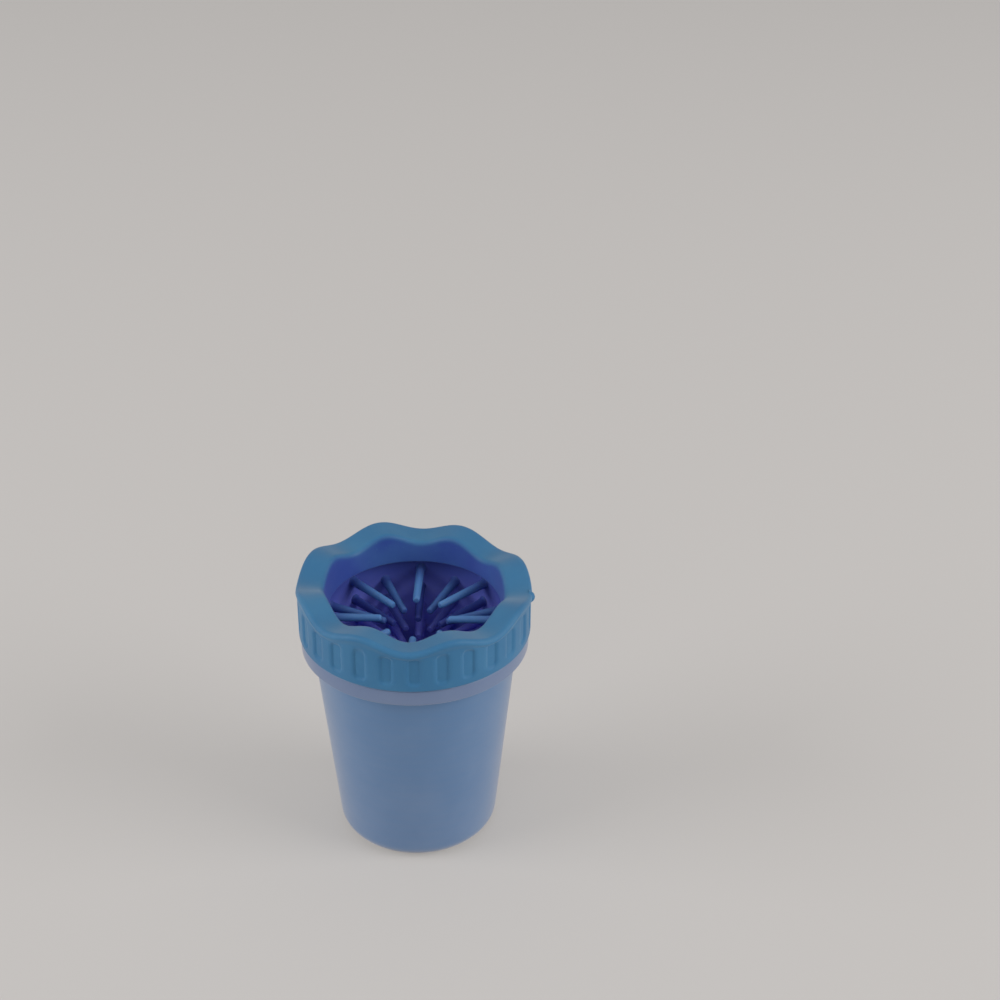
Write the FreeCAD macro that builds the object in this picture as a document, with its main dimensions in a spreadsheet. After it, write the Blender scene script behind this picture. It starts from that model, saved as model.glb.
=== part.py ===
import FreeCAD, Part
import math
import os
import Sketcher

# Paw washer cup: a frosted cup, a finger sleeve that lines it, and a wavy grip collar that caps both.
# Origin at the centre of the base, +Z up, millimetres.

os.makedirs("parts", exist_ok=True)
doc = FreeCAD.newDocument("paw_washer_cup")

DRIVING_SIZES = {
    # cup
    "cup_base_radius": 35.5,
    "cup_corner_radius": 8.0,
    "cup_wall": 1.8,
    "foot_recess_radius": 23.0,
    "foot_recess_depth": 0.6,
    "body_top_radius": 44.2,
    "band_bottom_height": 94.3,
    "band_height": 7.0,
    "band_setback": 0.8,
    "neck_height": 14.2,
    "neck_step": 1.1,
    # finger sleeve
    "sleeve_wall": 1.5,
    "sleeve_bottom_height": 10.0,
    "sleeve_clearance": 0.4,
    "flange_thickness": 1.5,
    "flange_edge_setback": 0.4,
    # fingers
    "finger_root_radius": 1.9,
    "finger_tip_radius": 1.6,
    "finger_tip_rounding": 0.7,
    "first_finger_drop": 6.0,
    "last_finger_rise": 6.0,
    "tip_circle_top_radius": 14.5,
    "tip_circle_bottom_radius": 11.5,
    # grip collar
    "skirt_wall": 3.7,
    "collar_clearance": 0.3,
    "throat_top_gap": 1.4,
    "throat_bottom_gap": 2.3,
    "throat_depth": 6.3,
    "throat_wall": 2.8,
    "rim_rise": 6.1,
    "rim_wave": 2.2,
    "rim_outer_rounding": 1.5,
    "rim_inner_rounding": 2.4,
    "rim_fall": 1.4,
    "rim_inner_drop": 3.6,
    "lip_overhang": 0.5,
    "lip_depth": 2.8,
    "lip_undercut": 1.4,
    "flute_width": 4.3,
    "flute_corner_radius": 1.8,
    "flute_depth": 0.8,
    "flute_bottom_land": 3.4,
    "flute_top_land": 3.0,
    "nub_radius": 2.2,
    "nub_embed": 0.5,
    "nub_rise": 15.4,
}
FINGER_ROWS = 20
FINGERS_PER_ROW = 8
FLUTES = 27
HALF_FINGER_STEP = 180 / FINGERS_PER_ROW
RIM_LOBES = 8
POLES_PER_LOBE = 8
FLUTE_REACH = 4.0
CUT_PAST = 1.0
FLAT = 1e-6
ANTICLOCKWISE = 1
CLOCKWISE = -1

sheet = doc.addObject("Spreadsheet::Sheet", "Sizes")
for row_number, (alias, number) in enumerate(DRIVING_SIZES.items(), start=1):
    sheet.set(f"A{row_number}", alias)
    sheet.set(f"B{row_number}", str(number))
    sheet.setAlias(f"B{row_number}", alias)
doc.recompute()


class Size:
    """A size kept both as an expression on the sheet and as its present value."""

    def __init__(self, text, value):
        self.text = text
        self.value = value

    def __add__(self, other):
        other = as_size(other)
        return Size(f"({self.text} + {other.text})", self.value + other.value)

    def __sub__(self, other):
        other = as_size(other)
        return Size(f"({self.text} - {other.text})", self.value - other.value)

    def __mul__(self, other):
        other = as_size(other)
        return Size(f"({self.text} * {other.text})", self.value * other.value)

    def __truediv__(self, other):
        other = as_size(other)
        return Size(f"({self.text} / {other.text})", self.value / other.value)


def as_size(number):
    if isinstance(number, Size):
        return number
    return Size(f"({number})", float(number))


def size(alias):
    return Size(f"Sizes.{alias}", float(sheet.get(alias)))


# ---------------------------------------------------------------- sizes that several pieces share

corner = size("cup_corner_radius")
cup_wall = size("cup_wall")
band_bottom = size("band_bottom_height")
band_top = band_bottom + size("band_height")
cup_rim = band_top + size("neck_height")
cup_taper = (size("body_top_radius") - size("cup_base_radius")) / (band_bottom - corner)


def cup_outer_radius(height):
    return size("cup_base_radius") + cup_taper * (height - corner)


def cup_inner_radius(height):
    return cup_outer_radius(height) - cup_wall


def sleeve_outer_radius(height):
    return cup_inner_radius(height) - size("sleeve_clearance")


def sleeve_inner_radius(height):
    return sleeve_outer_radius(height) - size("sleeve_wall")


neck_radius = cup_outer_radius(band_top) + size("neck_step")
neck_inner_radius = neck_radius - cup_wall
flange_top = cup_rim + size("flange_thickness")

skirt_inner_radius = neck_radius + size("collar_clearance")
collar_radius = skirt_inner_radius + size("skirt_wall")
collar_bottom = band_top + size("collar_clearance")
channel_roof = flange_top + size("collar_clearance")
rim_ridge = channel_roof + size("rim_rise")
lip_bottom = rim_ridge - size("lip_depth")
throat_end = channel_roof - size("throat_depth")
throat_outer_top_radius = sleeve_inner_radius(channel_roof) - size("throat_top_gap")
throat_outer_bottom_radius = sleeve_inner_radius(throat_end) - size("throat_bottom_gap")
throat_top_radius = throat_outer_top_radius - size("throat_wall")
throat_bottom_radius = throat_outer_bottom_radius - size("throat_wall")


# ---------------------------------------------------------------- helpers

def origin_plane(body, role):
    return next(item for item in body.Origin.OriginFeatures if item.Role == role)


def sketch_on(body, name, role, offset=None):
    sketch = body.newObject("Sketcher::SketchObject", name)
    sketch.AttachmentSupport = [(origin_plane(body, role), "")]
    sketch.MapMode = "FlatFace"
    if offset is not None:
        sketch.AttachmentOffset = FreeCAD.Placement(FreeCAD.Vector(0, 0, offset.value), FreeCAD.Rotation())
        sketch.setExpression("AttachmentOffset.Base.z", offset.text)
    return sketch


def bind(sketch, constraint_index, name, length):
    sketch.renameConstraint(constraint_index, name)
    sketch.setExpression(f"Constraints.{name}", length.text)


def closed_profile(sketch, corners):
    """Draw a closed outline through the corners, each held by its own two sizes.

    A corner is (across, up) and is reached by a straight side, or (across, up, bend radius, side)
    and is reached by an arc; side is +1 when the arc runs anticlockwise and -1 when it runs clockwise.
    """
    points = [FreeCAD.Vector(as_size(c[0]).value, as_size(c[1]).value, 0) for c in corners]
    for index, item in enumerate(corners):
        begin = points[index - 1]
        end = points[index]
        if len(item) == 2:
            sketch.addGeometry(Part.LineSegment(begin, end), False)
        else:
            sketch.addGeometry(short_arc(begin, end, item[2].value, item[3]), False)
    count = len(corners)
    for index, item in enumerate(corners):
        following = (index + 1) % count
        sketch.addConstraint(Sketcher.Constraint("Coincident", index, arc_end(item), following,
                                                 arc_start(corners[following])))
    for index, item in enumerate(corners):
        place = arc_end(item)
        across = as_size(item[0])
        up = as_size(item[1])
        constraint = sketch.addConstraint(Sketcher.Constraint("DistanceX", -1, 1, index, place, across.value))
        bind(sketch, constraint, f"across{index}", across)
        constraint = sketch.addConstraint(Sketcher.Constraint("DistanceY", -1, 1, index, place, up.value))
        bind(sketch, constraint, f"up{index}", up)
        if len(item) == 4:
            constraint = sketch.addConstraint(Sketcher.Constraint("Radius", index, item[2].value))
            bind(sketch, constraint, f"bend{index}", item[2])


def arc_start(item):
    return 2 if len(item) == 4 and item[3] < 0 else 1


def arc_end(item):
    return 1 if len(item) == 4 and item[3] < 0 else 2


def short_arc(begin, end, radius, side):
    """The shorter arc between two points; a sketch arc always runs anticlockwise about its centre."""
    chord = end - begin
    middle = (begin + end) * 0.5
    rise = math.sqrt(max(radius ** 2 - (chord.Length / 2) ** 2, 0.0))
    sideways = FreeCAD.Vector(-chord.y, chord.x, 0).normalize()
    centre = middle + sideways * (rise * side)
    circle = Part.Circle(centre, FreeCAD.Vector(0, 0, 1), radius)
    first, last = (begin, end) if side > 0 else (end, begin)
    return Part.ArcOfCircle(circle, circle.parameter(first), circle.parameter(last))


def revolve(body, sketch, name, axis="V_Axis"):
    feature = body.newObject("PartDesign::Revolution", name)
    feature.Profile = sketch
    feature.ReferenceAxis = (sketch, [axis])
    feature.Angle = 360
    return feature


def cut_round(body, sketch, name):
    feature = body.newObject("PartDesign::Groove", name)
    feature.Profile = sketch
    feature.ReferenceAxis = (sketch, ["V_Axis"])
    feature.Angle = 360
    return feature


def ring_pattern(body, feature, name, occurrences):
    pattern = body.newObject("PartDesign::PolarPattern", name)
    pattern.Originals = [feature]
    pattern.Axis = (next(item for item in body.Origin.OriginFeatures if item.Role == "Z_Axis"), [""])
    pattern.Angle = 360
    pattern.Occurrences = occurrences
    body.Tip = pattern
    return pattern


def cup_body():
    body = doc.addObject("PartDesign::Body", "cup_body")
    outline = sketch_on(body, "cup_outline", "XZ_Plane")
    floor_radius = size("cup_base_radius") - corner
    band_radius = collar_radius - size("band_setback")
    band_inner = band_radius - cup_wall
    band_underside = band_top - cup_wall
    closed_profile(outline, [
        (0, size("foot_recess_depth")),
        (size("foot_recess_radius"), size("foot_recess_depth")),
        (size("foot_recess_radius"), 0),
        (floor_radius, 0),
        (size("cup_base_radius"), corner, corner, ANTICLOCKWISE),
        (cup_outer_radius(band_underside), band_underside),
        (band_inner, band_underside),
        (band_inner, band_bottom),
        (band_radius, band_bottom),
        (band_radius, band_top),
        (neck_radius, band_top),
        (neck_radius, cup_rim),
        (neck_inner_radius, cup_rim),
        (neck_inner_radius, band_top),
        (cup_inner_radius(band_top), band_top),
        (size("cup_base_radius") - cup_wall, corner),
        (floor_radius, cup_wall, corner - cup_wall, CLOCKWISE),
        (0, cup_wall),
    ])
    revolve(body, outline, "cup_shell")
    return body


def bristle_sleeve():
    body = doc.addObject("PartDesign::Body", "bristle_sleeve")
    outline = sketch_on(body, "sleeve_outline", "XZ_Plane")
    bottom = size("sleeve_bottom_height")
    ledge = band_top + size("sleeve_clearance")
    flange_radius = neck_radius - size("flange_edge_setback")
    closed_profile(outline, [
        (sleeve_inner_radius(bottom), bottom),
        (sleeve_outer_radius(bottom), bottom),
        (sleeve_outer_radius(ledge), ledge),
        (neck_inner_radius - size("sleeve_clearance"), ledge),
        (neck_inner_radius - size("sleeve_clearance"), cup_rim),
        (flange_radius, cup_rim),
        (flange_radius, flange_top),
        (sleeve_inner_radius(flange_top), flange_top),
    ])
    revolve(body, outline, "sleeve_shell")
    return body


def bristle_row(index):
    """One ring of soft fingers: tapered rods that start on the sleeve's inner wall and point at the axis."""
    share = index / (FINGER_ROWS - 1)
    top_row = throat_end - size("first_finger_drop")
    bottom_row = size("sleeve_bottom_height") + size("last_finger_rise")
    height = top_row * (1 - share) + bottom_row * share
    tip = size("tip_circle_top_radius") * (1 - share) + size("tip_circle_bottom_radius") * share
    root_radius = size("finger_root_radius")
    tip_radius = size("finger_tip_radius")
    rounding = size("finger_tip_rounding")
    root = sleeve_inner_radius(height) + root_radius

    body = doc.addObject("PartDesign::Body", f"bristle_row_{index + 1:02d}")
    body.AllowCompound = True
    stagger = FreeCAD.Rotation(FreeCAD.Vector(0, 0, 1), index % 2 * HALF_FINGER_STEP)
    body.Placement = FreeCAD.Placement(FreeCAD.Vector(0, 0, height.value), stagger)
    body.setExpression("Placement.Base.z", height.text)

    finger_outline = sketch_on(body, f"finger_outline_{index + 1:02d}", "XZ_Plane")
    closed_profile(finger_outline, [
        (tip, 0),
        (tip, tip_radius - rounding),
        (tip + rounding, tip_radius, rounding, CLOCKWISE),
        (root, root_radius),
        (root, 0),
    ])
    finger = revolve(body, finger_outline, f"finger_{index + 1:02d}", "H_Axis")
    ring_pattern(body, finger, f"finger_ring_{index + 1:02d}", FINGERS_PER_ROW)

    # trim the roots to the tapered wall of the sleeve
    reach = root_radius * 2
    wall_outline = sketch_on(body, f"wall_outline_{index + 1:02d}", "XZ_Plane")
    closed_profile(wall_outline, [
        (sleeve_inner_radius(height - reach), as_size(0) - reach),
        (root + reach, as_size(0) - reach),
        (root + reach, reach),
        (sleeve_inner_radius(height + reach), reach),
    ])
    cut_round(body, wall_outline, f"root_trim_{index + 1:02d}")
    return body


def collar_blank():
    """The collar's outside as one smooth skin: straight skirt, thin lip, wavy rim that falls inward, throat.

    The skin is a B-spline surface, closed round the axis. Each pole row is (radius, height, wave share),
    and the share says how much of the rim's wave that row takes.
    """
    outer = collar_radius.value
    lip = outer + size("lip_overhang").value
    lip_level = lip_bottom.value
    throat_top = throat_top_radius.value
    throat_bottom = throat_bottom_radius.value
    ridge = rim_ridge.value
    outer_rounding = size("rim_outer_rounding").value
    bottom = collar_bottom.value
    pole_rows = [
        (outer, bottom, 0.0),
        (outer, (bottom + lip_level) / 2, 0.0),
        (outer, lip_level - size("lip_undercut").value, 0.6),
        (lip, lip_level, 0.9),
        (lip, ridge - outer_rounding, 1.0),
        (lip - outer_rounding, ridge, 1.0),
        (throat_top + size("rim_inner_rounding").value, ridge - size("rim_fall").value, 1.0),
        (throat_top, ridge - size("rim_inner_drop").value, 1.0),
        ((throat_top + throat_bottom) / 2, (ridge + throat_end.value) / 2, 0.4),
        (throat_bottom, throat_end.value, 0.0),
        (throat_bottom, bottom, 0.0),
    ]
    pole_count = RIM_LOBES * POLES_PER_LOBE
    # a cubic ring lies inside its poles by these shares, so the poles stand out by as much
    radius_gain = 3 / (2 + math.cos(2 * math.pi / pole_count))
    wave_gain = 3 / (2 + math.cos(2 * math.pi / POLES_PER_LOBE))
    poles = []
    for index in range(pole_count):
        angle = 2 * math.pi * index / pole_count
        wave = -size("rim_wave").value * wave_gain * math.cos(RIM_LOBES * angle)
        poles.append([FreeCAD.Vector(radius * radius_gain * math.cos(angle),
                                     radius * radius_gain * math.sin(angle),
                                     height + share * wave)
                      for radius, height, share in pole_rows])
    row_knots = len(pole_rows) - 1
    skin = Part.BSplineSurface()
    skin.buildFromPolesMultsKnots(
        poles,
        [1] * (pole_count + 1),
        [3] + [1] * (row_knots - 2) + [3],
        list(range(pole_count + 1)),
        list(range(row_knots)),
        True, False, 3, 2)
    skin_face = skin.toShape()
    rings = [Part.Wire(edge) for edge in skin_face.Edges
             if abs(edge.BoundBox.ZMax - bottom) < FLAT and abs(edge.BoundBox.ZMin - bottom) < FLAT]
    bottom_face = Part.makeFace(rings, "Part::FaceMakerBullseye")
    shell = Part.Shell([skin_face, bottom_face.Faces[0]])
    shell.sewShape()
    blank = doc.addObject("Part::Feature", "collar_blank")
    blank.Shape = Part.Solid(shell)
    return blank


def grip_collar():
    blank = collar_blank()
    body = doc.addObject("PartDesign::Body", "grip_collar")
    body.BaseFeature = blank

    # the channel that drops over the cup's neck, and the open space below the throat
    below = collar_bottom - CUT_PAST
    inside = throat_bottom_radius - CUT_PAST
    channel = sketch_on(body, "channel_outline", "XZ_Plane")
    closed_profile(channel, [
        (inside, below),
        (skirt_inner_radius, below),
        (skirt_inner_radius, channel_roof),
        (throat_outer_top_radius, channel_roof),
        (throat_outer_bottom_radius, throat_end),
        (inside, throat_end),
    ])
    cut_round(body, channel, "neck_channel")

    # finger grips: shallow upright flutes round the skirt
    half_width = size("flute_width") / 2
    bend = size("flute_corner_radius")
    flute_bottom = collar_bottom + size("flute_bottom_land")
    flute_top = lip_bottom - size("flute_top_land")
    left = as_size(0) - half_width
    flute = sketch_on(body, "flute_outline", "YZ_Plane", size("flute_depth") - collar_radius)
    closed_profile(flute, [
        (left + bend, flute_bottom, bend, ANTICLOCKWISE),
        (half_width - bend, flute_bottom),
        (half_width, flute_bottom + bend, bend, ANTICLOCKWISE),
        (half_width, flute_top - bend),
        (half_width - bend, flute_top, bend, ANTICLOCKWISE),
        (left + bend, flute_top),
        (left, flute_top - bend, bend, ANTICLOCKWISE),
        (left, flute_bottom + bend),
    ])
    pocket = body.newObject("PartDesign::Pocket", "flute")
    pocket.Profile = flute
    pocket.Length = FLUTE_REACH
    ring_pattern(body, pocket, "flute_ring", FLUTES)

    nub = body.newObject("PartDesign::AdditiveSphere", "nub")
    nub.AttachmentSupport = [(origin_plane(body, "XY_Plane"), "")]
    nub.MapMode = "FlatFace"
    nub.setExpression("Radius", size("nub_radius").text)
    nub.setExpression("AttachmentOffset.Base.x", (collar_radius - size("nub_embed")).text)
    nub.setExpression("AttachmentOffset.Base.z", (collar_bottom + size("nub_rise")).text)
    body.Tip = nub
    return body


pieces = [cup_body(), bristle_sleeve(), grip_collar()]
pieces += [bristle_row(index) for index in range(FINGER_ROWS)]
doc.recompute()

for item in doc.Objects:
    if "Invalid" in item.State or "Error" in item.State:
        raise RuntimeError(f"{item.Label} failed: {item.State}")
for piece in pieces:
    if piece.Shape.isNull() or not piece.Shape.isValid():
        raise RuntimeError(f"{piece.Label} has no valid shape")

for piece in pieces:
    piece.Shape.exportStep(f"parts/{piece.Label}.step")
    box = piece.Shape.BoundBox
    print(f"{piece.Label}: {len(piece.Shape.Solids)} solids, {piece.Shape.Volume / 1000:.2f} cm3,"
          f" z {box.ZMin:.2f} to {box.ZMax:.2f}, width {box.XLength:.2f}")
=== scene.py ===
import math

import bmesh
import bpy
from mathutils import Matrix, Vector


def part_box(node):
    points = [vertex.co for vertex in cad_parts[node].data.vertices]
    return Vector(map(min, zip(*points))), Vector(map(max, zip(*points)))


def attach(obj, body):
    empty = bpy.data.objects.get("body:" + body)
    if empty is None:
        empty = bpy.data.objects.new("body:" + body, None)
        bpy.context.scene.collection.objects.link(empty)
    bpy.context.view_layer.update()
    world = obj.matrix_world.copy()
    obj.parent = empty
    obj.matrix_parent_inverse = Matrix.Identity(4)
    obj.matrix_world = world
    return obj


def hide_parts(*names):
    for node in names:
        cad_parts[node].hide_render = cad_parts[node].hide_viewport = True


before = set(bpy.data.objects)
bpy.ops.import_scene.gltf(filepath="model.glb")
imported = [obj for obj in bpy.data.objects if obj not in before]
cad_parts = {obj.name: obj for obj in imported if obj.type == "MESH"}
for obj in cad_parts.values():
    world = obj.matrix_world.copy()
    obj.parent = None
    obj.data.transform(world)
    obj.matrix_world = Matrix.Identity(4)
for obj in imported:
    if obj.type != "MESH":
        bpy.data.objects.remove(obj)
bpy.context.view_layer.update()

# Paw washer cup: frosted cup, finger-lined sleeve and wavy grip collar. Metres, +Z up, base centre at 0.

MM = 0.001
SMOOTH_ANGLE = math.radians(35)
ON_AXIS = 1e-7
WELD_DISTANCE = 1e-6


# ---------------------------------------------------------------- places taken from the frame

cup_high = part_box("cup_body")[1]
sleeve_low, sleeve_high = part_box("bristle_sleeve")
collar_low, collar_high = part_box("grip_collar")
ROW_NODES = sorted(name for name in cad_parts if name.startswith("bristle_row_"))
top_row_low, top_row_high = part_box(ROW_NODES[0])
bottom_row_low, bottom_row_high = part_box(ROW_NODES[-1])

CUP_RIM = cup_high[2]
BAND_RADIUS = cup_high[0]
FLANGE_RADIUS = sleeve_high[0]
FLANGE_TOP = sleeve_high[2]
SLEEVE_BOTTOM = sleeve_low[2]
COLLAR_BOTTOM = collar_low[2]
COLLAR_TOP = collar_high[2]
TOP_ROW = (top_row_low[2] + top_row_high[2]) / 2
BOTTOM_ROW = (bottom_row_low[2] + bottom_row_high[2]) / 2

# ---------------------------------------------------------------- sizes of the mouldings

CLEARANCE = 0.3 * MM
BASE_RADIUS = 35.5 * MM
BODY_TOP_RADIUS = 44.2 * MM
BASE_CORNER = 8.0 * MM
FOOT_BEND = 7.6 * MM
CUP_WALL = 1.8 * MM
BAND_HEIGHT = 7.0 * MM
BAND_TOP = COLLAR_BOTTOM - CLEARANCE
BAND_BOTTOM = BAND_TOP - BAND_HEIGHT
CUP_TAPER = (BODY_TOP_RADIUS - BASE_RADIUS) / (BAND_BOTTOM - BASE_CORNER)
NECK_STEP = 1.1 * MM
FOOT_RECESS_RADIUS = 23.0 * MM
FOOT_RECESS_DEPTH = 0.6 * MM
FOOT_RECESS_SLOPE = 0.5 * MM
GATE_RADIUS = 1.6 * MM
GATE_MARK = 0.3 * MM

SLEEVE_GAP = 0.4 * MM
SLEEVE_WALL = 1.5 * MM

SKIRT_WALL = 3.7 * MM
LIP_OVERHANG = 0.5 * MM
LIP_DEPTH = 2.8 * MM
LIP_UNDERCUT = 1.4 * MM
LIP_HEEL = 0.3 * MM
RIM_WAVE = 2.2 * MM
RIM_FALL = 1.5 * MM
RIM_FULLNESS = 0.4 * MM
RIM_LOBES = 8
RIM_LEAN = 1.5 * MM
RIM_LEAN_HEADING = math.radians(165)
# how far down the mouth's painted shade fades in, and how far out from the throat it reaches
MOUTH_SHADE_FADE = 2.5 * MM
MOUTH_SHADE_WIDTH = 1.2 * MM
MOUTH_EASE = 0.2 * MM
THROAT_DEPTH = 6.3 * MM
THROAT_WALL = 2.8 * MM
THROAT_TOP_GAP = 1.4 * MM
THROAT_BOTTOM_GAP = 2.3 * MM

FLUTES = 27
FLUTE_WIDTH = 5.2 * MM
FLUTE_DEPTH = 0.8 * MM
FLUTE_CORNER = 1.9 * MM
FLUTE_EDGE = 0.75 * MM
FLUTE_BOTTOM_LAND = 3.4 * MM
FLUTE_TOP_LAND = 2.4 * MM
STEPS_PER_FLUTE = 20

NUB_RISE = 15.4 * MM
NUB_SINK = 1.0 * MM
# height above the nub's foot and radius there, both in millimetres, from the flared foot to the domed top
NUB_PROFILE = [(0.0, 3.0), (0.55, 2.75), (0.95, 2.4), (1.4, 2.2), (1.9, 1.85), (2.35, 1.25),
               (2.6, 0.6), (2.68, 0.0)]

FINGERS_PER_ROW = 8
FINGER_TIP_RADIUS = 1.6 * MM
FINGER_EMBED = 0.4 * MM
FINGER_DROOP = math.radians(1.0)
FINGER_SWAY = math.radians(0.9)
FINGER_SEED = 7
FINGER_SIDES = 16
# share of the finger's length from its tip, and girth in tip radii: rounded tip, taper, flare at the root
FINGER_PROFILE = [(0.0, 0.45), (0.004, 0.72), (0.02, 0.92), (0.05, 1.0), (0.35, 1.06), (0.7, 1.15),
                  (0.93, 1.25), (0.975, 1.4), (1.0, 1.75)]
TIP_CIRCLE_TOP = 14.5 * MM
TIP_CIRCLE_BOTTOM = 11.5 * MM

TURNED_SEGMENTS = 256
NUB_SEGMENTS = 32
WALL_SPACING = 4 * MM
COLLAR_SPACING = 0.65 * MM


def cup_outer(height):
    return BASE_RADIUS + CUP_TAPER * (height - BASE_CORNER)


def sleeve_outer(height):
    return cup_outer(height) - CUP_WALL - SLEEVE_GAP


def sleeve_inner(height):
    return sleeve_outer(height) - SLEEVE_WALL


NECK_RADIUS = cup_outer(BAND_TOP) + NECK_STEP
NECK_INNER = NECK_RADIUS - CUP_WALL
SKIRT_INNER = NECK_RADIUS + CLEARANCE
COLLAR_RADIUS = SKIRT_INNER + SKIRT_WALL
LIP_RADIUS = COLLAR_RADIUS + LIP_OVERHANG
CHANNEL_ROOF = FLANGE_TOP + CLEARANCE
RIDGE = COLLAR_TOP - RIM_WAVE + RIM_FULLNESS
LIP_BOTTOM = RIDGE - LIP_DEPTH
THROAT_END = CHANNEL_ROOF - THROAT_DEPTH
THROAT_OUTER_TOP = sleeve_inner(CHANNEL_ROOF) - THROAT_TOP_GAP
THROAT_OUTER_BOTTOM = sleeve_inner(THROAT_END) - THROAT_BOTTOM_GAP
THROAT_TOP = THROAT_OUTER_TOP - THROAT_WALL
THROAT_BOTTOM = THROAT_OUTER_BOTTOM - THROAT_WALL


# ---------------------------------------------------------------- outlines and turned shapes

def headings(count):
    """Even steps once round the axis."""
    return [2 * math.pi * step / count for step in range(count)]


def rounded_outline(corners, spacing, arc_step=math.radians(15)):
    """Points round a closed outline of (across, up, bend) corners.

    Each bend becomes an arc, and each straight run is divided into pieces no longer than the spacing.
    """
    points = [Vector((across, up)) for across, up, bend in corners]
    count = len(corners)
    stations = []
    for index, here in enumerate(points):
        bend = corners[index][2]
        if bend <= 0:
            stations.append([here])
            continue
        back = (points[index - 1] - here).normalized()
        ahead = (points[(index + 1) % count] - here).normalized()
        half = back.angle(ahead) / 2
        reach = bend / math.tan(half)
        centre = here + (back + ahead).normalized() * (bend / math.sin(half))
        first = here + back * reach
        spoke = first - centre
        sweep = (here + ahead * reach - centre).angle_signed(spoke)
        steps = max(2, math.ceil(abs(sweep) / arc_step))
        stations.append([centre + Matrix.Rotation(sweep * step / steps, 2) @ spoke
                         for step in range(steps + 1)])
    outline = []
    for index, arc in enumerate(stations):
        following = stations[(index + 1) % count][0]
        run = following - arc[-1]
        pieces = max(1, math.ceil(run.length / spacing))
        outline += arc + [arc[-1] + run * step / pieces for step in range(1, pieces)]
    return outline


def turned(name, outline, segments):
    """A closed solid turned round the axis; a point on the axis becomes a single pole."""
    mesh = bpy.data.meshes.new(name)
    shape = bmesh.new()
    rings = []
    for point in outline:
        if point.x < ON_AXIS:
            rings.append([shape.verts.new((0, 0, point.y))])
            continue
        rings.append([shape.verts.new((point.x * math.cos(turn), point.x * math.sin(turn), point.y))
                      for turn in headings(segments)])
    for index, ring in enumerate(rings):
        following = rings[(index + 1) % len(rings)]
        if len(ring) == 1 and len(following) == 1:
            continue
        for step in range(segments):
            near = [ring[step % len(ring)], ring[(step + 1) % len(ring)]]
            far = [following[(step + 1) % len(following)], following[step % len(following)]]
            shape.faces.new(list(dict.fromkeys(near + far)))
    bmesh.ops.recalc_face_normals(shape, faces=shape.faces)
    shape.to_mesh(mesh)
    shape.free()
    return placed(name, mesh)


def placed(name, mesh):
    piece = bpy.data.objects.new(name, mesh)
    bpy.context.collection.objects.link(piece)
    for face in mesh.polygons:
        face.use_smooth = True
    mesh.set_sharp_from_angle(angle=SMOOTH_ANGLE)
    return piece


# ---------------------------------------------------------------- node tree helpers

# places of the mix node's colour sockets, which share their names with its number and vector sockets
MIX_SHARE, MIX_FIRST_COLOUR, MIX_SECOND_COLOUR = 0, 6, 7
MIX_COLOUR_RESULT = 2


class Nodes:
    """Short calls for building a node tree: each returns the node or socket that the next call needs."""

    def __init__(self, tree):
        self.tree = tree

    def add(self, kind, inputs=None, **settings):
        node = self.tree.nodes.new(kind)
        for key, value in settings.items():
            setattr(node, key, value)
        for key, value in (inputs or {}).items():
            self.feed(node.inputs[key], value)
        return node

    def feed(self, socket, value):
        if isinstance(value, bpy.types.NodeSocket):
            self.tree.links.new(value, socket)
        else:
            socket.default_value = value

    def maths(self, operation, *values):
        node = self.add("ShaderNodeMath", operation=operation)
        for socket, value in zip(node.inputs, values):
            self.feed(socket, value)
        return node.outputs[0]

    def switch_range(self, value, low, high):
        """0 at low, 1 at high, and a smooth step between them; low may be the larger."""
        node = self.add("ShaderNodeMapRange", {"Value": value, "From Min": low, "From Max": high},
                        interpolation_type="SMOOTHSTEP")
        return node.outputs["Result"]

    def combine(self, across, along, up):
        return self.add("ShaderNodeCombineXYZ", {"X": across, "Y": along, "Z": up}).outputs[0]

    def split(self, vector):
        return self.add("ShaderNodeSeparateXYZ", {"Vector": vector}).outputs

    def from_axis(self, place):
        """Distance from the axis of a place that has been split into X, Y and Z."""
        flat = self.combine(place["X"], place["Y"], 0.0)
        return self.add("ShaderNodeVectorMath", {0: flat}, operation="LENGTH").outputs["Value"]

    def polar(self, radius, turn, height):
        return self.combine(self.maths("MULTIPLY", radius, self.maths("COSINE", turn)),
                            self.maths("MULTIPLY", radius, self.maths("SINE", turn)), height)

    def mixed_colour(self, share, first, second):
        """A colour that goes from the first to the second as share goes from 0 to 1."""
        inputs = {MIX_SHARE: share, MIX_FIRST_COLOUR: first, MIX_SECOND_COLOUR: second}
        return self.add("ShaderNodeMix", inputs, data_type="RGBA").outputs[MIX_COLOUR_RESULT]

    def lay_out(self):
        """Lay the nodes out from left to right in the order in which they were made."""
        columns, column_width, row_drop = 12, 220, 320
        for index, node in enumerate(self.tree.nodes):
            node.location = (index % columns * column_width, -(index // columns) * row_drop)

    def finish_shape(self, geometry, material):
        """Turn any copies into real mesh, give it its finish and close the tree."""
        real = self.add("GeometryNodeRealizeInstances", {"Geometry": geometry})
        dress = self.add("GeometryNodeSetMaterial", {"Geometry": real.outputs[0], "Material": material})
        self.add("NodeGroupOutput", {"Geometry": dress.outputs[0]})
        self.lay_out()
        return self.tree


def shape_tree(name, inputs):
    """An empty Geometry Nodes tree with the named inputs, each (name, socket type)."""
    tree = bpy.data.node_groups.new(name, "GeometryNodeTree")
    tree.interface.new_socket("Geometry", in_out="INPUT", socket_type="NodeSocketGeometry")
    for label, kind in inputs:
        tree.interface.new_socket(label, in_out="INPUT", socket_type=kind)
    tree.interface.new_socket("Geometry", in_out="OUTPUT", socket_type="NodeSocketGeometry")
    nodes = Nodes(tree)
    return nodes, nodes.add("NodeGroupInput").outputs


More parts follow.
